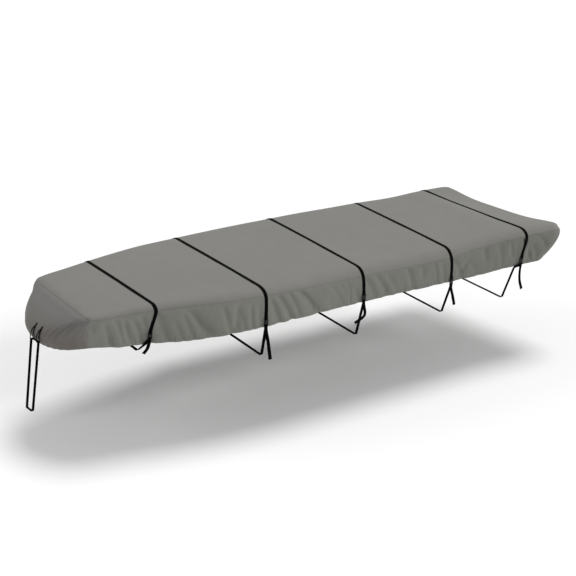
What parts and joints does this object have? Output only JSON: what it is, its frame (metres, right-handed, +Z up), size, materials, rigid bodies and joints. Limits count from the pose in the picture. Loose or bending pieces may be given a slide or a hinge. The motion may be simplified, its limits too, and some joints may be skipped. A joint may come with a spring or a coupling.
{
  "type": "fitted boat cover",
  "caption": "Fitted cloth cover for a flat-decked jon boat, with side skirts, straps over the top, buckles at the hem, straps under the hull and a bow tie-down.",
  "frame": {"origin": "on the underside of the deck panel, on the centreline amidships", "axes": "+X aft along the boat, +Y to starboard, +Z up"},
  "size_m": [5.4795, 1.8234, 0.9897],
  "materials": {
    "cloth": "coated plain-weave polyester, matt",
    "webbing": "woven polypropylene, dull",
    "buckle": "moulded acetal, semi-matt"
  },
  "bodies": {
    "root": {"deck_panel": "cloth", "skirt_port": "cloth", "skirt_starboard": "cloth", "bow_panel": "cloth", "transom_panel": "cloth", "over_strap_1": "webbing", "buckle_1_port": "buckle", "belly_1_leg_port": "webbing", "belly_1_tail_port": "webbing", "buckle_1_starboard": "buckle", "belly_1_leg_starboard": "webbing", "belly_1_tail_starboard": "webbing", "belly_1_run": "webbing", "over_strap_2": "webbing", "buckle_2_port": "buckle", "belly_2_leg_port": "webbing", "belly_2_tail_port": "webbing", "buckle_2_starboard": "buckle", "belly_2_leg_starboard": "webbing", "belly_2_tail_starboard": "webbing", "belly_2_run": "webbing", "over_strap_3": "webbing", "buckle_3_port": "buckle", "belly_3_leg_port": "webbing", "belly_3_tail_port": "webbing", "buckle_3_starboard": "buckle", "belly_3_leg_starboard": "webbing", "belly_3_tail_starboard": "webbing", "belly_3_run": "webbing", "over_strap_4": "webbing", "buckle_4_port": "buckle", "belly_4_leg_port": "webbing", "belly_4_tail_port": "webbing", "buckle_4_starboard": "buckle", "belly_4_leg_starboard": "webbing", "belly_4_tail_starboard": "webbing", "belly_4_run": "webbing", "over_strap_5": "webbing", "buckle_5_port": "buckle", "belly_5_leg_port": "webbing", "belly_5_tail_port": "webbing", "buckle_5_starboard": "buckle", "belly_5_leg_starboard": "webbing", "belly_5_tail_starboard": "webbing", "belly_5_run": "webbing", "nose_loop_port": "webbing", "nose_loop_starboard": "webbing", "bow_tie": "webbing"}
  },
  "joints": []
}
